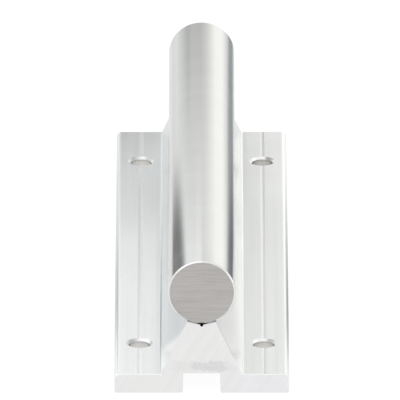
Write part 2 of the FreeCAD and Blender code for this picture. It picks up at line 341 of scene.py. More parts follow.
# Roughness, where there are two values from dark to light lines or from left to right
DRAWN_ROUGHNESS = (0.36, 0.27)
SMEAR_ROUGHNESS = 0.06
SAWN_ROUGHNESS = (0.5, 0.38)
GROOVE_ROUGHNESS = 0.27
BORE_ROUGHNESS = 0.26
HOLE_CHAMFER_ROUGHNESS = (0.35, 0.3)
GROUND_ROUGHNESS = (0.11, 0.14)
SHAFT_SMEAR_ROUGHNESS = 0.03
SHAFT_CHAMFER_ROUGHNESS = 0.22
SHAFT_FACE_ROUGHNESS = (0.42, 0.34)
OXIDE_ROUGHNESS = (0.32, 0.46)

# Ranges of the fading marks, in millimetres: where a mark starts and is full
SHEEN_LEFT_LENGTHS = (38.0, -2.0)
SHEEN_FRONT_LENGTHS = (-25.0, -80.0)
SHEEN_RIGHT_LENGTHS = (20.0, 60.0)
FLANGE_WIDTHS = (12.5, 14.5)
SHADED_FLANGE_WIDTHS = (-15.0, -20.0)
SHADED_FLANGE_LENGTHS = (30.0, 60.0)
COOL_END_WIDTHS = (6.0, 16.0)
WEAK_SCUFF_WIDTHS = (10.0, 8.0)
HOLE_SHADE_LENGTHS = (-20.0, 20.0)
SHADE_FRONT_LENGTHS = (40.0, -30.0)
RIGHT_FLANK_LENGTHS = (40.0, -40.0)
RIGHT_WEB_EDGE_HEIGHTS = (9.0, 12.5)

# Ranges of the other marks, in millimetres: where a mark starts, is full, is still full and ends
SCUFF_HEIGHTS = (6.7, 7.5, 9.6, 10.6)
SCUFF_WIDTHS = (-3.6, -2.2, 6.0, 7.4)
RIGHT_ROOT_WIDTHS = (10.0, 11.0, 15.0, 16.0)
LEFT_ROOT_WIDTHS = (-16.0, -15.0, -11.0, -10.0)
DARK_SHADE_LENGTHS = (-94.0, -72.0, -55.0, -2.0)
RIM_SHADE_DEPTHS = (0.0, 0.1, 0.3, 0.6)


def bump(tree, height, strength, distance):
    node = add_node(tree, "ShaderNodeBump")
    node.inputs["Strength"].default_value = strength
    node.inputs["Distance"].default_value = distance
    join(tree, height, node.inputs["Height"])
    return node.outputs["Normal"]


def end_mask(tree, along, depth):
    """1 on the two end faces, 0 along the length, with the step at a depth in millimetres."""
    edge = HALF_LENGTH_MM - depth
    return ramp(tree, maths(tree, "ABSOLUTE", along), edge - END_STEP, edge + END_STEP)


def survey_rail(tree):
    """Sockets that tell where a point of the rail lies, in millimetres, and which way it faces."""
    rail = SimpleNamespace(place=place_in_mm(tree))
    rail.across, rail.along, rail.up = split(tree, rail.place)
    rail.to_right = ramp(tree, rail.across, -6.0, 6.0)
    rail.ends = end_mask(tree, rail.along, END_FACE_DEPTH)
    geometry = add_node(tree, "ShaderNodeNewGeometry")
    rail.facing_across, facing_along, rail.facing_up = split(tree, geometry.outputs["Normal"])
    rail.facing_end = maths(tree, "ABSOLUTE", facing_along)

    # The mounting holes with their chamfers
    hole_offsets = []
    for value, row in ((rail.across, HOLE_SIDE_MM), (rail.along, HOLE_ROW_MM)):
        hole_offsets.append(maths(tree, "SUBTRACT", maths(tree, "ABSOLUTE", value), row))
    from_hole = vector_maths(tree, "LENGTH", combine(tree, *hole_offsets))
    chamfer_edge = HOLE_RADIUS_MM + HOLE_CHAMFER_MM
    rail.drilled = ramp(tree, from_hole, chamfer_edge + 0.02, chamfer_edge - 0.08)
    rail.undrilled = maths(tree, "SUBTRACT", 1.0, rail.drilled)
    rail.below_chamfer = maths(tree, "SUBTRACT", FLANGE_TOP_MM - HOLE_CHAMFER_MM, rail.up)

    # The scribe grooves along the rows of holes
    beside_row = maths(tree, "ABSOLUTE", hole_offsets[0])
    rail.in_groove = product(
        tree,
        ramp(tree, beside_row, GROOVE_HALF_WIDTH_MM + 0.02, GROOVE_HALF_WIDTH_MM - 0.04),
        ramp(tree, rail.up, FLANGE_TOP_MM - 0.3, FLANGE_TOP_MM - 0.2))
    return rail


def paint_extruded_faces(tree, rail, die_lines, smears):
    """Die lines and smears all over, and a painted sheen and painted shade on stretches of the flanges."""
    colour = blend_colours(tree, die_lines, DIE_LINE_DARK, DIE_LINE_LIGHT)
    smeared = blend_colours(tree, rail.to_right, SMEAR_LEFT, SMEAR_RIGHT)
    colour = blend_colours(tree, product(tree, smears, SMEAR_SHARE), colour, smeared)

    # Painted sheen: the left flange is lighter in the middle and the front, and the right one at the rear
    sheen_left = product(
        tree,
        ramp(tree, rail.along, *SHEEN_LEFT_LENGTHS, 0.0, SHEEN_LEFT_SHARE),
        ramp(tree, rail.along, *SHEEN_FRONT_LENGTHS, 1.0, SHEEN_FRONT_SHARE))
    sheen_right = ramp(tree, rail.along, *SHEEN_RIGHT_LENGTHS, 0.0, SHEEN_RIGHT_SHARE)
    on_flange = ramp(tree, maths(tree, "ABSOLUTE", rail.across), *FLANGE_WIDTHS)
    sheen = product(tree, on_flange, blend_values(tree, rail.to_right, sheen_left, sheen_right))
    colour = blend_colours(tree, sheen, colour, SHEEN_FLANGE)

    # Painted shade on the outer rear of the left flange
    shaded = product(
        tree,
        ramp(tree, rail.across, *SHADED_FLANGE_WIDTHS),
        ramp(tree, rail.along, *SHADED_FLANGE_LENGTHS, 0.0, SHADED_FLANGE_SHARE))
    return blend_colours(tree, shaded, colour, SHADED_FLANGE)


def paint_sawn_ends(tree, rail, saw_lines):
    """Saw lines, cooler on the right, and a scuffed band where the end was dragged over a bench."""
    to_cool = ramp(tree, rail.across, *COOL_END_WIDTHS)
    dark = blend_colours(tree, to_cool, SAWN_DARK, SAWN_DARK_COOL)
    light = blend_colours(tree, to_cool, SAWN_LIGHT, SAWN_LIGHT_COOL)
    sawn = blend_colours(tree, saw_lines, dark, light)

    # The band lies above the channel, with a wandering outline
    wander = maths(tree, "SUBTRACT", noise(tree, rail.place, 0.45, detail=4.0, roughness=0.6), 0.5)
    across = maths(tree, "MULTIPLY_ADD", wander, 9.0, rail.across)
    up = maths(tree, "MULTIPLY_ADD", wander, -4.0, rail.up)
    strong = window(tree, across, *SCUFF_WIDTHS)
    weak = ramp(tree, maths(tree, "ABSOLUTE", across), *WEAK_SCUFF_WIDTHS)
    weak = product(tree, weak, WEAK_SCUFF_SHARE)
    grain = ramp(tree, noise(tree, rail.place, 1.3, detail=4.0, roughness=0.6), 0.3, 0.7, 0.5, 1.0)
    scuffs = product(tree, window(tree, up, *SCUFF_HEIGHTS), maths(tree, "MAXIMUM", strong, weak), grain)
    return blend_colours(tree, scuffs, sawn, SCUFFED)


def paint_holes(tree, rail, drill_lines):
    """Drill lines, painted shade in the right holes that is strongest in the rear one, a painted shade line
    under the chamfers and a painted highlight on the chamfers.
    """
    bored = blend_colours(tree, drill_lines, BORED_DARK, BORED_LIGHT)
    # Painted shade in the right holes, strongest at the rear
    hole_shade = product(tree, rail.to_right, ramp(tree, rail.along, *HOLE_SHADE_LENGTHS, *HOLE_SHADE_SHARES))
    bored = blend_colours(tree, hole_shade, bored, HOLE_SHADE)
    # Painted shade: a dark line just below each hole's chamfer
    rim_shade = product(tree, window(tree, rail.below_chamfer, *RIM_SHADE_DEPTHS), RIM_SHADE_SHARE)
    bored = blend_colours(tree, rim_shade, bored, HOLE_RIM_SHADE)
    # Painted highlight: the chamfers are lighter than the bored walls
    return blend_colours(tree, ramp(tree, rail.below_chamfer, 0.05, -0.05), bored, HOLE_CHAMFER)


def paint_web(tree, rail, colour):
    """Painted shade in the web's rounded roots, and painted shade and light on its flanks."""
    rounded = product(
        tree, window(tree, rail.facing_up, 0.5, 0.6, 0.95, 0.99), ramp(tree, rail.facing_end, 0.5, 0.3))
    # Painted shade in the right root
    right_root = product(tree, rounded, window(tree, rail.across, *RIGHT_ROOT_WIDTHS))
    colour = blend_colours(tree, right_root, colour, RIGHT_ROOT_SHADE)

    # Painted shade, bluish, on the left flank, with a painted highlight at its lower front corner; painted
    # light on the right flank towards the front
    aside = maths(tree, "ABSOLUTE", rail.facing_across)
    above_flange = ramp(tree, rail.up, FLANGE_TOP_MM + 0.05, FLANGE_TOP_MM + 0.3)
    flank = product(tree, ramp(tree, aside, 0.75, 0.85), above_flange)
    corner = ramp(tree, maths(tree, "MULTIPLY_ADD", rail.up, 1.43, rail.along), -69.0, -76.0)
    to_front = ramp(tree, rail.along, *SHADE_FRONT_LENGTHS)
    flank_shade = blend_colours(tree, to_front, FLANK_SHADE_REAR, FLANK_SHADE_FRONT)
    left_flank = blend_colours(tree, corner, flank_shade, FLANK_CORNER_HIGHLIGHT)
    flank_tone = blend_colours(tree, rail.to_right, left_flank, FLANK_RIGHT_LIGHT)
    right_share = ramp(tree, rail.along, *RIGHT_FLANK_LENGTHS)
    flank_share = blend_values(tree, rail.to_right, LEFT_SHADE_SHARE, right_share)
    colour = blend_colours(tree, product(tree, flank, flank_share), colour, flank_tone)

    # Painted shade in the left root, darkest towards the front
    left_root = product(tree, rounded, window(tree, rail.across, *LEFT_ROOT_WIDTHS))
    root_tone = blend_colours(tree, window(tree, rail.along, *DARK_SHADE_LENGTHS), LEFT_ROOT_SHADE, ROOT_DARK_SHADE)
    return blend_colours(tree, left_root, colour, root_tone)


def paint_grooves(tree, rail, colour):
    """Painted light and shade on the walls of both scribe grooves, by the way each wall faces, changing from
    the rear to the front.
    """
    along = rail.along
    faces_right = ramp(tree, rail.facing_across, -0.03, 0.03)
    shaded_wall = blend_colours(
        tree, ramp(tree, along, 70.0, -90.0, course="LINEAR"), RIGHT_GROOVE_REAR, RIGHT_GROOVE_FRONT)
    right_walls = blend_colours(tree, faces_right, shaded_wall, RIGHT_GROOVE_INNER)
    outer_wall = blend_colours(tree, ramp(tree, along, 70.0, 42.0), OUTER_WALL_REAR, OUTER_WALL_MIDDLE)
    outer_wall = blend_colours(tree, ramp(tree, along, 10.0, -60.0), outer_wall, OUTER_WALL_FRONT)
    inner_wall = blend_colours(tree, ramp(tree, along, 85.0, 55.0), INNER_WALL_REAR, INNER_WALL_MIDDLE)
    inner_wall = blend_colours(tree, ramp(tree, along, 40.0, -20.0), inner_wall, INNER_WALL_FRONT)
    left_walls = blend_colours(tree, faces_right, inner_wall, outer_wall)
    walls = blend_colours(tree, rail.to_right, left_walls, right_walls)
    return blend_colours(tree, product(tree, rail.in_groove, rail.undrilled), colour, walls)


def paint_broken_edges(tree, rail, colour):
    """The broken edges of the ends: painted shade high up on the right of the web, painted light lower down
    and on its left, and a painted highlight along the flanges.
    """
    broken = window(tree, rail.facing_end, 0.4, 0.6, 0.85, 0.95)
    web_edge = product(tree, broken, ramp(tree, rail.up, FLANGE_TOP_MM + 0.6, FLANGE_TOP_MM + 1.6))
    to_top = ramp(tree, rail.up, *RIGHT_WEB_EDGE_HEIGHTS)
    right_tone = blend_colours(tree, to_top, RIGHT_WEB_EDGE_LIGHT, RIGHT_WEB_EDGE_SHADE)
    web_tone = blend_colours(tree, ramp(tree, rail.across, -1.0, 1.0), LEFT_WEB_EDGE_LIGHT, right_tone)
    colour = blend_colours(tree, web_edge, colour, web_tone)
    at_flange = ramp(tree, rail.up, FLANGE_TOP_MM + 0.6, FLANGE_TOP_MM + 0.2)
    return blend_colours(tree, product(tree, broken, at_flange, rail.undrilled), colour, FLANGE_EDGE_HIGHLIGHT)


def make_mill_aluminium():
    """Mill-finish extrusion with die lines along it, arcs of the saw on its ends and drilled holes."""
    material, tree, shader = new_material("mill_aluminium")
    rail = survey_rail(tree)
    along_rail = vector_maths(tree, "MULTIPLY", rail.place, (1.0, 0.004, 1.0))
    die_lines = use_group(tree, tool_lines, Place=along_rail, Lines=3.0, Bands=0.35, Band_share=0.45)["Value"]
    smears = use_group(tree, handling_marks, Place=rail.place, Smear_size=0.045, Scratch_size=0.35)["Smears"]
    from_blade = vector_maths(tree, "SUBTRACT", rail.place, SAW_BLADE_CENTRE)
    from_blade = vector_maths(tree, "MULTIPLY", from_blade, (1, 0, 1))
    reach = combine(tree, across=vector_maths(tree, "LENGTH", from_blade))
    saw_lines = use_group(tree, tool_lines, Place=reach, Lines=2.2, Bands=0.5, Band_share=0.4)["Value"]
    drill_lines = use_group(
        tree, tool_lines, Place=combine(tree, up=rail.up), Lines=3.0, Bands=1.0, Band_share=0.3)["Value"]

    colour = paint_extruded_faces(tree, rail, die_lines, smears)
    colour = blend_colours(tree, rail.ends, colour, paint_sawn_ends(tree, rail, saw_lines))
    colour = blend_colours(tree, rail.drilled, colour, paint_holes(tree, rail, drill_lines))
    edges = use_group(tree, worn_edges, Place=rail.place, Width=0.4 * MM, Breakup=0.8)["Mask"]
    colour = blend_colours(tree, product(tree, edges, WORN_EDGE_SHARE), colour, WORN_EDGE)
    colour = paint_web(tree, rail, colour)
    colour = paint_grooves(tree, rail, colour)
    colour = paint_broken_edges(tree, rail, colour)
    join(tree, colour, shader.inputs["Base Color"])

    drawn_roughness = ramp(tree, die_lines, 0.0, 1.0, *DRAWN_ROUGHNESS)
    drawn_roughness = maths(tree, "ADD", drawn_roughness, product(tree, smears, SMEAR_ROUGHNESS))
    sawn_roughness = ramp(tree, saw_lines, 0.0, 1.0, *SAWN_ROUGHNESS)
    chamfer_roughness = ramp(tree, rail.to_right, 0.0, 1.0, *HOLE_CHAMFER_ROUGHNESS)
    drilled_roughness = ramp(tree, rail.below_chamfer, 0.2, -0.1, BORE_ROUGHNESS, chamfer_roughness)
    roughness = blend_values(tree, rail.ends, drawn_roughness, sawn_roughness)
    roughness = blend_values(tree, rail.in_groove, roughness, GROOVE_ROUGHNESS)
    roughness = blend_values(tree, rail.drilled, roughness, drilled_roughness)
    join(tree, roughness, shader.inputs["Roughness"])
    shader.inputs["Metallic"].default_value = 1.0
    height = blend_values(tree, rail.ends, product(tree, die_lines, 0.25), saw_lines)
    height = blend_values(tree, rail.drilled, height, drill_lines)
    join(tree, bump(tree, height, 0.35, 0.03 * MM), shader.inputs["Normal"])
    return material


def make_polished_steel():
    """Ground and polished steel, with turned chamfers and faced, brushed ends."""
    material, tree, shader = new_material("polished_shaft_steel")
    place = place_in_mm(tree)
    along = split(tree, place)[1]
    around = vector_maths(tree, "MULTIPLY", place, (0.05, 1.0, 0.05))
    ground = use_group(tree, tool_lines, Place=around, Lines=2.5, Bands=0.12, Band_share=0.5)["Value"]
    smears = use_group(tree, handling_marks, Place=place, Smear_size=0.05, Scratch_size=0.3)["Smears"]
    body = blend_colours(tree, ground, GROUND_DARK, GROUND_LIGHT)

    # Brushed lines run level across the end faces
    level = vector_maths(tree, "MULTIPLY", place, (0.05, 1.0, 1.0))
    brushed = use_group(tree, tool_lines, Place=level, Lines=2.4, Bands=0.7, Band_share=0.4)["Value"]
    face = blend_colours(tree, brushed, SHAFT_FACE_DARK, SHAFT_FACE_LIGHT)

    chamfers = end_mask(tree, along, SHAFT_CHAMFER_DEPTH)
    ends = end_mask(tree, along, END_FACE_DEPTH)
    # Painted highlight on the turned chamfers
    colour = blend_colours(tree, chamfers, body, SHAFT_CHAMFER)
    colour = blend_colours(tree, ends, colour, face)
    join(tree, colour, shader.inputs["Base Color"])
    polish = ramp(tree, ground, 0.0, 1.0, *GROUND_ROUGHNESS)
    polish = maths(tree, "ADD", polish, product(tree, smears, SHAFT_SMEAR_ROUGHNESS))
    polish = blend_values(tree, chamfers, polish, SHAFT_CHAMFER_ROUGHNESS)
    face_roughness = ramp(tree, brushed, 0.0, 1.0, *SHAFT_FACE_ROUGHNESS)
    join(tree, blend_values(tree, ends, polish, face_roughness), shader.inputs["Roughness"])
    shader.inputs["Metallic"].default_value = 1.0
    height = blend_values(tree, ends, product(tree, ground, 0.02), brushed)
    join(tree, bump(tree, height, 0.25, 0.02 * MM), shader.inputs["Normal"])
    return material


def make_black_oxide():
    """Oiled black oxide, rubbed bare along the sharp edges."""
    material, tree, shader = new_material("black_oxide_steel")
    place = place_in_mm(tree)
    around = vector_maths(tree, "MULTIPLY", place, (0.1, 0.1, 1.0))
    turned = use_group(tree, tool_lines, Place=around, Lines=4.0, Bands=0.8, Band_share=0.4)["Value"]
    marks = use_group(tree, handling_marks, Place=place, Smear_size=0.3, Scratch_size=1.2)
    oxide = blend_colours(tree, turned, OXIDE_DARK, OXIDE_LIGHT)
    oxide = blend_colours(tree, product(tree, marks["Smears"], OXIDE_SMEAR_SHARE), oxide, OXIDE_SMEAR)
    edges = use_group(tree, worn_edges, Place=place, Width=0.18 * MM, Breakup=2.0)["Mask"]
    worn = maths(tree, "MAXIMUM", product(tree, edges, BARE_EDGE_SHARE), marks["Scratches"])
    join(tree, blend_colours(tree, worn, oxide, BARE_STEEL), shader.inputs["Base Color"])
    join(tree, ramp(tree, marks["Smears"], 0.0, 1.0, *OXIDE_ROUGHNESS), shader.inputs["Roughness"])
    shader.inputs["Metallic"].default_value = 1.0
    join(tree, bump(tree, turned, 0.2, 0.02 * MM), shader.inputs["Normal"])
    return material


def dress(node, material):
    slots = frame["nodes"][node].data.materials
    slots.clear()
    slots.append(material)


dress("support_rail", make_mill_aluminium())
dress("linear_shaft", make_polished_steel())


# Modelling helpers

MERGE_DISTANCE = 0.002 * MM
CUT_DISTANCE = 0.0002 * MM
PICK_ROOM = 0.05 * MM


def start_piece(name):
    """Names the primitive that was just added, and opens it for editing."""
    piece = bpy.context.object
    piece.name = name
    bpy.ops.object.mode_set(mode="EDIT")
    return piece


def pick(piece, element, test):
    """Selects only the vertices whose place passes a test, or the edges with both ends passing it."""
    bpy.ops.mesh.select_mode(type=element)
    bpy.ops.mesh.select_all(action="DESELECT")
    form = bmesh.from_edit_mesh(piece.data)
    if element == "VERT":
        for vertex in form.verts:
            vertex.select_set(test(vertex.co))
    else:
        for edge in form.edges:
            edge.select_set(all(test(vertex.co) for vertex in edge.verts))
    form.select_flush_mode()
    bmesh.update_edit_mesh(piece.data)


def close_mesh():
    """Merges doubled corners of the piece in edit mode, turns its faces outwards and leaves edit mode."""
    bpy.ops.mesh.select_all(action="SELECT")
    bpy.ops.mesh.remove_doubles(threshold=MERGE_DISTANCE)
    bpy.ops.mesh.normals_make_consistent(inside=False)
    bpy.ops.object.mode_set(mode="OBJECT")


def make_current(piece):
    bpy.ops.object.select_all(action="DESELECT")
    piece.select_set(True)
    bpy.context.view_layer.objects.active = piece


def combine_solids(piece, other, operation):
    """Applies a Boolean of the other solid to the piece, and deletes the other."""
    make_current(piece)
    boolean = piece.modifiers.new("combine", "BOOLEAN")
    boolean.operation = operation
    boolean.solver = "EXACT"
    boolean.object = other
    bpy.ops.object.modifier_apply(modifier=boolean.name)
    make_current(other)
    bpy.ops.object.delete()
    make_current(piece)


# Socket head cap screws, modelled on the Z axis and then put in their places

HEAD_RADIUS = (screw_high.x - screw_low.x) / 2
HEAD_BOTTOM = screw_low.z
HEAD_HEIGHT = 6.0 * MM
HEAD_EDGE = 0.5 * MM
SCREW_TIP = screw_high.z
SCREW_SIDES = 72
KNURL_DEPTH = 0.14 * MM
SOCKET_SIDES = 6
SOCKET_FLATS = 5.0 * MM
SOCKET_DEPTH = 3.0 * MM
SOCKET_LEAD_IN = 0.25 * MM
SOCKET_CONE = 0.9 * MM
NECK_RADIUS = 2.5 * MM
NECK_FILLET = 0.4 * MM
THREAD_RADIUS = 3.0 * MM
THREAD_PITCH = 1.0 * MM
THREAD_DEPTH = 0.61 * MM
THREAD_CREST = 0.125
THREAD_STEPS = 36
TIP_CHAMFER = 0.8 * MM
BLANK_ROOM = 0.05 * MM
SMOOTH_ANGLE = math.radians(30)


def extrude_ring(rise, radius_before, radius_after, height_after):
    """Extrudes the selected ring upwards and brings it to a new radius."""
    bpy.ops.mesh.extrude_edges_move(TRANSFORM_OT_translate={"value": (0, 0, rise)})
    share = radius_after / radius_before
    bpy.ops.transform.resize(value=(share, share, 1), center_override=(0, 0, height_after))


def model_screw_head():
    """A knurled head with a hexagon socket in its lower face, and a short neck above."""
    head_top = HEAD_BOTTOM + HEAD_HEIGHT
    rings = [
        (HEAD_BOTTOM, HEAD_RADIUS - HEAD_EDGE),
        (HEAD_BOTTOM + HEAD_EDGE, HEAD_RADIUS),
        (head_top - HEAD_EDGE / 2, HEAD_RADIUS),
        (head_top, HEAD_RADIUS - HEAD_EDGE / 2),
        (head_top, NECK_RADIUS + NECK_FILLET),
        (head_top + NECK_FILLET, NECK_RADIUS),
        (head_top + 2 * THREAD_PITCH, NECK_RADIUS)]
    bpy.ops.object.select_all(action="DESELECT")
    bpy.ops.mesh.primitive_circle_add(
        vertices=SCREW_SIDES, radius=rings[0][1], fill_type="NOTHING", location=(0, 0, HEAD_BOTTOM))
    bpy.ops.object.transform_apply(location=True, rotation=True, scale=True)
    head = start_piece("screw_head")
    bpy.ops.mesh.select_mode(type="EDGE")
    bpy.ops.mesh.select_all(action="SELECT")
    for (height, radius), (next_height, next_radius) in zip(rings, rings[1:]):
        extrude_ring(next_height - height, radius, next_radius, next_height)
    bpy.ops.mesh.edge_face_add()

    # Straight knurling: every other corner of the side is pressed in
    step_angle = 2 * math.pi / SCREW_SIDES

    def in_knurl_valley(corner):
        on_side = math.hypot(corner.x, corner.y) > HEAD_RADIUS - PICK_ROOM
        step = round(math.atan2(corner.y, corner.x) / step_angle)
        return on_side and step % 2 == 0

    pick(head, "VERT", in_knurl_valley)
    pressed = 1 - KNURL_DEPTH / HEAD_RADIUS
    bpy.ops.transform.resize(value=(pressed, pressed, 1), center_override=(0, 0, HEAD_BOTTOM))

    # Hexagon socket, bridged to the rim and sunk into the head
    bpy.ops.mesh.select_all(action="DESELECT")
    socket_radius = SOCKET_FLATS / math.sqrt(3)
    mouth_radius = socket_radius + SOCKET_LEAD_IN
    bpy.ops.mesh.primitive_circle_add(
        vertices=SOCKET_SIDES, radius=mouth_radius, fill_type="NOTHING", location=(0, 0, HEAD_BOTTOM))
    bpy.ops.mesh.subdivide(number_cuts=SCREW_SIDES // SOCKET_SIDES - 1)
    lowest = HEAD_BOTTOM + PICK_ROOM
    pick(head, "EDGE", lambda corner: corner.z < lowest)
    bpy.ops.mesh.bridge_edge_loops()
    inside = mouth_radius + PICK_ROOM
    pick(head, "EDGE", lambda corner: corner.z < lowest and math.hypot(corner.x, corner.y) < inside)
    sink = HEAD_BOTTOM + SOCKET_DEPTH
    extrude_ring(SOCKET_LEAD_IN, mouth_radius, socket_radius, HEAD_BOTTOM + SOCKET_LEAD_IN)
    extrude_ring(SOCKET_DEPTH - SOCKET_LEAD_IN, socket_radius, socket_radius, sink)
    bpy.ops.mesh.extrude_edges_move(TRANSFORM_OT_translate={"value": (0, 0, SOCKET_CONE)})
    bpy.ops.mesh.merge(type="CENTER")
    close_mesh()
    return head


def model_threaded_rod():
    """A V thread turned by a Screw modifier, trimmed flat at both ends."""
    root = THREAD_RADIUS - THREAD_DEPTH
    rod_bottom = HEAD_BOTTOM + HEAD_HEIGHT + THREAD_PITCH
    turns = math.ceil((SCREW_TIP - rod_bottom) / THREAD_PITCH) + 2
    first_turn = rod_bottom - 1.5 * THREAD_PITCH

    # One tooth: a plane stood on edge, its outer side narrowed to the crest and its inner side removed
    bpy.ops.object.select_all(action="DESELECT")
    bpy.ops.mesh.primitive_plane_add(size=1.0, rotation=(math.pi / 2, 0, 0))
    bpy.context.object.scale = (THREAD_DEPTH, THREAD_PITCH, 1)
    middle = root + THREAD_DEPTH / 2
    bpy.context.object.location = (middle, 0, first_turn + THREAD_PITCH / 2)
    bpy.ops.object.transform_apply(location=True, rotation=True, scale=True)
    rod = start_piece("threaded_rod")
    pick(rod, "EDGE", lambda corner: corner.x > middle)
    bpy.ops.transform.resize(
        value=(1, 1, THREAD_CREST), center_override=(THREAD_RADIUS, 0, first_turn + THREAD_PITCH / 2))
    pick(rod, "EDGE", lambda corner: corner.x < middle)
    bpy.ops.mesh.delete(type="EDGE")
    bpy.ops.object.mode_set(mode="OBJECT")

    helix = rod.modifiers.new("helix", "SCREW")
    helix.axis = "Z"
    helix.screw_offset = THREAD_PITCH
    helix.iterations = turns
    helix.steps = THREAD_STEPS
    helix.render_steps = THREAD_STEPS
    bpy.ops.object.modifier_apply(modifier=helix.name)

    # The turns are joined before the ends are trimmed, so that each cut is one closed loop
    bpy.ops.object.mode_set(mode="EDIT")
    bpy.ops.mesh.select_all(action="SELECT")
    bpy.ops.mesh.remove_doubles(threshold=MERGE_DISTANCE)
    for height, keep in ((rod_bottom, -1), (SCREW_TIP, 1)):
        bpy.ops.mesh.select_all(action="SELECT")
        bpy.ops.mesh.bisect(
            plane_co=(0, 0, height), plane_no=(0, 0, keep), use_fill=True, clear_outer=True,
            threshold=CUT_DISTANCE)
    close_mesh()
    return rod


def model_tip_blank():
    """A plain rod with a chamfered tip, which the thread is cut down to."""
    blank_radius = THREAD_RADIUS + BLANK_ROOM
    blank_bottom = HEAD_BOTTOM + HEAD_HEIGHT / 2
    bpy.ops.object.select_all(action="DESELECT")
    bpy.ops.mesh.primitive_cylinder_add(
        vertices=SCREW_SIDES, radius=blank_radius, depth=SCREW_TIP - blank_bottom,
        location=(0, 0, (SCREW_TIP + blank_bottom) / 2))
    bpy.ops.object.transform_apply(location=True, rotation=True, scale=True)
    blank = start_piece("tip_blank")
    pick(blank, "EDGE", lambda corner: corner.z > SCREW_TIP - PICK_ROOM)
    bpy.ops.mesh.bevel(offset=TIP_CHAMFER, segments=1, affect="EDGES")
    close_mesh()
    return blank


def model_cap_screw():
    screw = model_threaded_rod()
    combine_solids(screw, model_tip_blank(), "INTERSECT")
    combine_solids(screw, model_screw_head(), "UNION")
    bpy.ops.object.mode_set(mode="EDIT")
    close_mesh()
    bpy.ops.object.shade_smooth_by_angle(angle=SMOOTH_ANGLE)
    screw.data.materials.clear()
    screw.data.materials.append(make_black_oxide())
    return screw


def place_screw(pattern, name, node, low, high):
    """A copy of the screw with its own mesh, in the place of a CAD screw."""
    make_current(pattern)
    bpy.ops.object.duplicate(linked=False)
    screw = bpy.context.object
    screw.name = name
    screw.location = ((low.x + high.x) / 2, (low.y + high.y) / 2, 0)
    bpy.ops.object.transform_apply(location=True, rotation=True, scale=True)
    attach(screw, "root")
    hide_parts(node)


pattern_screw = model_cap_screw()
place_screw(pattern_screw, "cap_screw_front", "shaft_screw_front", screw_low, screw_high)
place_screw(pattern_screw, "cap_screw_rear", "shaft_screw_rear", rear_screw_low, rear_screw_high)
make_current(pattern_screw)
bpy.ops.object.delete()


# Studio

# Levels of the room and of the floor
ROOM_LEVEL = 0.9
KEY_LEVEL = 0.25
SIDE_LEVEL = 0.22
ZENITH_LEVEL = 0.82
REAR_FLAG_SHARE = 0.55
FLOOR_TO_CAMERA = 0.94
FLOOR_TO_METAL = 0.8
FLOOR_DIFFUSE = 0.1

# Levels of the backdrop, and shares that scale them in places
UPPER_LEFT_NEAR = 0.35
UPPER_LEFT_FAR = 1.52
LOWER_LEFT = 1.02
SEAM_SHARE = 0.88
OUTER_LEFT_SHARE = 1.2
SHADED_LEFT_SHARE = 0.94
BESIDE_TOP_NEAR = 0.735
BESIDE_TOP_FAR = 1.14
UPPER_RIGHT = 1.36
HIGH_RIGHT_SHARE = 0.65
LOWER_RIGHT = 0.5
LOW_MIDDLE_SHARE = 0.5
OUTSKIRTS = 0.95
BACKDROP_BLUISH = grey(1.0, (0.985, 1.0, 0.995))
BACKDROP_WARM = grey(1.0, (1.0, 1.0, 0.98))

# Levels of the flags; a ray's depth is 1 at its first reflection
FLOOR_FLAG_DARK = 0.28
FLOOR_FLAG_LIGHT = 0.52
FLOOR_FLAG_INNER_SHARE = 0.78
FLOOR_FLAG_BESIDE_RAIL = 1.05
FLOOR_FLAG_TINT = grey(1.0, (0.93, 0.975, 1.0))
EDGE_FLAG_LIGHT = 0.95
EDGE_FLAG_NEAR_FADE_MM = 50.0
EDGE_FLAG_FAR_FADE_MM = 140.0
SIDE_FLAG_LEVEL = 0.25
SIDE_FLAG_TINT = grey(1.0, (0.98, 0.98, 1.0))
SIDE_FLAG_RAY_DEPTH = 1.5

# Sizes and places of the stage, in metres
FLOOR_SIZE = 3.0
FLOOR_GAP = 0.05 * MM
BACKDROP_SIZE = (1.4, 0.8)
BACKDROP_BEHIND = 0.4
FLOOR_FLAG_INNER = 0.0275
FLOOR_FLAG_OUTER = 0.1955
FLOOR_FLAG_LENGTH = 0.77
FLOOR_FLAG_MIDDLE = 0.365
FLOOR_FLAG_HEIGHT = 0.001
FLOOR_FLAG_RIM = 0.02
EDGE_FLAG_SIZE = (0.007, 0.26)
EDGE_FLAG_MIDDLE = 0.03
SIDE_FLAG_SIZE = (0.11, 0.13)
SIDE_FLAG_CENTRE = (-0.06, 0.085, 0.062)
SOFTBOX_CENTRE = (-0.6, -0.35, 0.7)
SOFTBOX_TARGET = (0, 0, 0.02)
SOFTBOX_SIZE = (0.5, 0.5)
SOFTBOX_POWER = 6.0
LYING = (0, 0, 0)
UPRIGHT_ACROSS = (math.radians(90), 0, 0)
UPRIGHT_ALONG = (0, math.radians(90), 0)


def make_stage_material(name):
    material = bpy.data.materials.new(name)
    material.use_nodes = True
    tree = material.node_tree
    tree.nodes.clear()
    output = tree.nodes.new("ShaderNodeOutputMaterial")
    return material, tree, output.inputs["Surface"]


def add_card(name, size, centre, turn, material):
    """A flat stage card that shows only in reflections."""
    bpy.ops.object.select_all(action="DESELECT")
    bpy.ops.mesh.primitive_plane_add(size=1.0)
    card = bpy.context.object
    card.name = name
    card.scale = (size[0], size[1], 1.0)
    card.rotation_euler = turn
    card.location = centre
    bpy.ops.object.transform_apply(location=True, rotation=True, scale=True)
    card.data.materials.append(material)
    card.visible_camera = False
    card.visible_shadow = False
    card.visible_diffuse = False


def scale_where(tree, value, mask, share):
    """The value, multiplied by a share where the mask is 1."""
    return product(tree, value, ramp(tree, mask, 0.0, 1.0, 1.0, share))


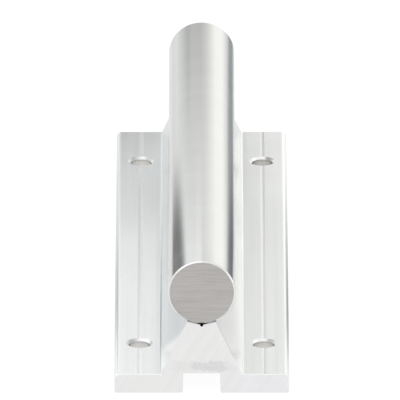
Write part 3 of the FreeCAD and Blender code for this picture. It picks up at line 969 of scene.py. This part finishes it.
def make_backdrop_material():
    """Greys that turn about the shaft's axis, so that each direction gives one band along the shaft.

    Angles are in degrees from straight up, positive on the right, and distances from the axis in millimetres.
    Both upper sides brighten away from the axis, which lights the near end of the shaft and the flanges.
    """
    material, tree, surface = make_stage_material("backdrop_gradient")
    across, _, up = split(tree, place_in_mm(tree))
    above = maths(tree, "SUBTRACT", up, SHAFT_AXIS_MM)
    angle = maths(tree, "DEGREES", maths(tree, "ARCTAN2", across, above))
    distance = vector_maths(tree, "LENGTH", combine(tree, across=across, up=above))

    # Left side
    left = ramp(tree, distance, 60.0, 260.0, UPPER_LEFT_NEAR, UPPER_LEFT_FAR, course="LINEAR")
    seam = product(tree, window(tree, angle, -70.0, -47.0, -43.0, -34.0), ramp(tree, distance, 165.0, 140.0))
    left = scale_where(tree, left, seam, SEAM_SHARE)
    left = product(tree, left, ramp(tree, distance, 205.0, 270.0, 1.0, OUTER_LEFT_SHARE))
    shade = product(tree, ramp(tree, angle, -14.0, -24.0), ramp(tree, distance, 150.0, 190.0))
    left = scale_where(tree, left, shade, SHADED_LEFT_SHARE)
    left = blend_values(tree, ramp(tree, angle, -105.0, -50.0), LOWER_LEFT, left)

    # Right side
    beside_top = ramp(tree, distance, 120.0, 210.0, BESIDE_TOP_NEAR, BESIDE_TOP_FAR, course="LINEAR")
    right = blend_values(tree, ramp(tree, angle, 6.0, 48.0, course="LINEAR"), beside_top, UPPER_RIGHT)
    high_right = product(tree, ramp(tree, distance, 212.0, 250.0), ramp(tree, angle, 45.0, 30.0))
    right = scale_where(tree, right, high_right, HIGH_RIGHT_SHARE)

    # Both sides, with the middle low down, the lower right and the outskirts
    level = blend_values(tree, ramp(tree, angle, -12.0, 10.0), left, right)
    near_middle = ramp(tree, maths(tree, "ABSOLUTE", angle), 45.0, 30.0)
    low_middle = product(tree, ramp(tree, distance, 122.0, 60.0), near_middle)
    level = scale_where(tree, level, low_middle, LOW_MIDDLE_SHARE)
    level = blend_values(tree, ramp(tree, angle, 74.0, 118.0, course="LINEAR"), level, LOWER_RIGHT)
    level = blend_values(tree, ramp(tree, distance, 300.0, 400.0), level, OUTSKIRTS)
    tint = blend_colours(tree, ramp(tree, angle, -20.0, 20.0), BACKDROP_BLUISH, BACKDROP_WARM)
    emission = add_node(tree, "ShaderNodeEmission")
    join(tree, tint, emission.inputs["Color"])
    join(tree, level, emission.inputs["Strength"])
    tree.links.new(emission.outputs[0], surface)
    return material


def make_floor_flag_material():
    """A dark strip of floor that lightens askew, away from the camera.

    The stretch beside the rail is as bright as the floor, and in front it is brighter and wider.
    """
    material, tree, surface = make_stage_material("floor_flag_fade")
    across, along, _ = split(tree, place_in_mm(tree))
    dark = add_node(tree, "ShaderNodeEmission")
    dark.inputs["Color"].default_value = FLOOR_FLAG_TINT
    askew = maths(tree, "MULTIPLY_ADD", across, -1.5, maths(tree, "ADD", along, 105.0))
    strength = product(
        tree,
        ramp(tree, askew, 100.0, 190.0, FLOOR_FLAG_DARK, FLOOR_FLAG_LIGHT),
        ramp(tree, across, 50.0, 110.0, FLOOR_FLAG_INNER_SHARE, 1.0))
    near = ramp(tree, along, 50.0, -10.0)
    beside = maths(tree, "MULTIPLY_ADD", near, -25.0, across)
    beside_level = ramp(tree, near, 0.0, 1.0, FLOOR_TO_METAL, FLOOR_FLAG_BESIDE_RAIL)
    strength = maths(tree, "MAXIMUM", strength, ramp(tree, beside, 48.0, 30.0, 0.0, beside_level))
    join(tree, strength, dark.inputs["Strength"])
    tree.links.new(dark.outputs[0], surface)
    return material


def make_edge_flag_material(name, darkest, middle):
    """A grey strip beside a flange, darkest at one place along it, for the line along the flange's round."""
    material, tree, surface = make_stage_material(name)
    along = split(tree, place_in_mm(tree))[1]
    dark = add_node(tree, "ShaderNodeEmission")
    near = ramp(tree, along, middle - EDGE_FLAG_NEAR_FADE_MM, middle, EDGE_FLAG_LIGHT, darkest)
    far = ramp(tree, along, middle, middle + EDGE_FLAG_FAR_FADE_MM, darkest, EDGE_FLAG_LIGHT)
    join(tree, maths(tree, "MAXIMUM", near, far), dark.inputs["Strength"])
    tree.links.new(dark.outputs[0], surface)
    return material


def make_side_flag_material():
    """A dark flag for the dark wedge at the shaft's near end.

    It clears upwards and towards its far end, and shows only in the first reflection of a ray.
    """
    material, tree, surface = make_stage_material("side_flag_fade")
    _, along, up = split(tree, place_in_mm(tree))
    dark = add_node(tree, "ShaderNodeEmission")
    dark.inputs["Color"].default_value = SIDE_FLAG_TINT
    dark.inputs["Strength"].default_value = SIDE_FLAG_LEVEL
    clear = add_node(tree, "ShaderNodeBsdfTransparent")
    fade = add_node(tree, "ShaderNodeMixShader")
    askew = maths(tree, "MULTIPLY_ADD", along, 0.35, up)
    path = add_node(tree, "ShaderNodeLightPath")
    shown = product(
        tree,
        ramp(tree, along, 146.0, 60.0),
        ramp(tree, askew, 122.0, 62.0),
        maths(tree, "LESS_THAN", path.outputs["Ray Depth"], SIDE_FLAG_RAY_DEPTH))
    join(tree, shown, fade.inputs["Fac"])
    tree.links.new(clear.outputs[0], fade.inputs[1])
    tree.links.new(dark.outputs[0], fade.inputs[2])
    tree.links.new(fade.outputs[0], surface)
    return material


def make_floor():
    """White to the camera and grey to the metal, diffuse enough to show a shadow, and clear from below."""
    bpy.ops.object.select_all(action="DESELECT")
    bpy.ops.mesh.primitive_plane_add(size=FLOOR_SIZE, location=(0, 0, -FLOOR_GAP))
    bpy.ops.object.transform_apply(location=True, rotation=True, scale=True)
    floor = bpy.context.object
    floor.name = "floor"
    material, tree, surface = make_stage_material("pale_floor")
    path = add_node(tree, "ShaderNodeLightPath")
    seen = maths(tree, "MAXIMUM", path.outputs["Is Camera Ray"], path.outputs["Is Transmission Ray"])
    mirrored = maths(tree, "MULTIPLY", path.outputs["Is Glossy Ray"], FLOOR_TO_METAL)
    diffuse = add_node(tree, "ShaderNodeBsdfDiffuse")
    diffuse.inputs["Color"].default_value = grey(FLOOR_DIFFUSE)
    white = add_node(tree, "ShaderNodeEmission")
    strength = maths(tree, "MAXIMUM", maths(tree, "MULTIPLY", seen, FLOOR_TO_CAMERA), mirrored)
    join(tree, strength, white.inputs["Strength"])
    both = add_node(tree, "ShaderNodeAddShader")
    tree.links.new(diffuse.outputs[0], both.inputs[0])
    tree.links.new(white.outputs[0], both.inputs[1])
    clear = add_node(tree, "ShaderNodeBsdfTransparent")
    sides = add_node(tree, "ShaderNodeMixShader")
    geometry = add_node(tree, "ShaderNodeNewGeometry")
    tree.links.new(geometry.outputs["Backfacing"], sides.inputs["Fac"])
    tree.links.new(both.outputs[0], sides.inputs[1])
    tree.links.new(clear.outputs[0], sides.inputs[2])
    tree.links.new(sides.outputs[0], surface)
    floor.data.materials.append(material)


def make_world():
    """White to the camera, and a soft room to the metal.

    The room is brighter overhead and on the upper left, and low on the right.
    """
    world = bpy.data.worlds.new("studio")
    bpy.context.scene.world = world
    world.use_nodes = True
    tree = world.node_tree
    coordinates = add_node(tree, "ShaderNodeTexCoord")
    across, along, up = split(tree, coordinates.outputs["Generated"])
    key = product(tree, ramp(tree, across, 0.16, -0.12), ramp(tree, up, 0.3, 0.6))
    overhead = product(tree, ramp(tree, along, -0.1, 0.15), ramp(tree, up, 0.4, 0.6))
    side = product(tree, ramp(tree, across, 0.7, 0.92), ramp(tree, up, 0.55, 0.2))
    lit = maths(tree, "MULTIPLY_ADD", maths(tree, "MAXIMUM", key, overhead), KEY_LEVEL, ROOM_LEVEL)
    lit = maths(tree, "MULTIPLY_ADD", side, SIDE_LEVEL, lit)

    # A calmer zenith, for views from above
    zenith = product(tree, ramp(tree, up, 0.78, 0.92), ramp(tree, along, -0.3, -0.1))
    lit = blend_values(tree, zenith, lit, ZENITH_LEVEL)

    # A grey flag on each side, low behind the camera, gives the shaft its bands from the rear
    aside = maths(tree, "ABSOLUTE", across)
    flags = product(tree, window(tree, aside, 0.06, 0.16, 0.24, 0.34), ramp(tree, along, -0.7, -0.85))
    lit = scale_where(tree, lit, flags, REAR_FLAG_SHARE)
    path = add_node(tree, "ShaderNodeLightPath")
    seen = maths(tree, "MAXIMUM", path.outputs["Is Camera Ray"], path.outputs["Is Transmission Ray"])
    background = tree.nodes["Background"]
    join(tree, blend_values(tree, seen, lit, 1.0), background.inputs["Strength"])
    background.inputs["Color"].default_value = grey(1.0)


def add_softbox(name, centre, target, size, power):
    """A lamp for the floor's shadow; the room itself is what the metal mirrors."""
    light = bpy.data.lights.new(name, "AREA")
    light.shape = "RECTANGLE"
    light.size, light.size_y = size
    light.energy = power
    lamp = bpy.data.objects.new(name, light)
    bpy.context.scene.collection.objects.link(lamp)
    lamp.location = centre
    lamp.rotation_euler = (Vector(target) - Vector(centre)).to_track_quat("-Z", "Y").to_euler()
    lamp.visible_camera = False
    lamp.visible_glossy = False


def add_floor_flag():
    """A strip lying on the floor, right of the rail, with an upright rim along its outer side."""
    fade = make_floor_flag_material()
    width = FLOOR_FLAG_OUTER - FLOOR_FLAG_INNER
    middle = (FLOOR_FLAG_OUTER + FLOOR_FLAG_INNER) / 2
    add_card("right_flag", (width, FLOOR_FLAG_LENGTH),
             (middle, FLOOR_FLAG_MIDDLE, FLOOR_FLAG_HEIGHT), LYING, fade)
    add_card("right_flag_upright", (FLOOR_FLAG_RIM, FLOOR_FLAG_LENGTH),
             (FLOOR_FLAG_OUTER, FLOOR_FLAG_MIDDLE, FLOOR_FLAG_RIM / 2), UPRIGHT_ALONG, fade)


def add_edge_flag(side, across, darkest, middle):
    """A low strip beside one of the flanges; its darkest place is in millimetres along the rail."""
    fade = make_edge_flag_material(side + "_edge_fade", darkest, middle)
    centre = (across, EDGE_FLAG_MIDDLE, EDGE_FLAG_SIZE[0] / 2)
    add_card(side + "_edge_flag", EDGE_FLAG_SIZE, centre, UPRIGHT_ALONG, fade)


make_floor()
make_world()
add_softbox("key_softbox", SOFTBOX_CENTRE, SOFTBOX_TARGET, SOFTBOX_SIZE, SOFTBOX_POWER)
backdrop_centre = (0, BACKDROP_BEHIND, BACKDROP_SIZE[1] / 2)
add_card("backdrop_card", BACKDROP_SIZE, backdrop_centre, UPRIGHT_ACROSS, make_backdrop_material())
add_floor_flag()
add_edge_flag("right", FLOOR_FLAG_INNER, darkest=0.4, middle=-47.0)
add_edge_flag("left", -FLOOR_FLAG_INNER, darkest=0.66, middle=-40.0)
add_card("left_side_flag", SIDE_FLAG_SIZE, SIDE_FLAG_CENTRE, UPRIGHT_ALONG, make_side_flag_material())


# Camera at the photograph's angle, far away behind a long lens

CAMERA_ELEVATION = math.radians(21.3)
CAMERA_HALF_ANGLE = math.radians(0.62)
CAMERA_DISTANCE = 5.57
CAMERA_AIM = Vector((-0.0005, 0.0005, 0.0223))
CAMERA_SENSOR_MM = 36.0


def make_camera():
    data = bpy.data.cameras.new("camera")
    data.sensor_width = CAMERA_SENSOR_MM
    data.lens = CAMERA_SENSOR_MM / 2 / math.tan(CAMERA_HALF_ANGLE)
    camera = bpy.data.objects.new("camera", data)
    bpy.context.scene.collection.objects.link(camera)
    back = Vector((0, -math.cos(CAMERA_ELEVATION), math.sin(CAMERA_ELEVATION)))
    camera.location = CAMERA_AIM + back * CAMERA_DISTANCE
    camera.rotation_euler = (-back).to_track_quat("-Z", "Y").to_euler()
    bpy.context.scene.camera = camera


make_camera()
bpy.context.scene.view_settings.view_transform = "Standard"
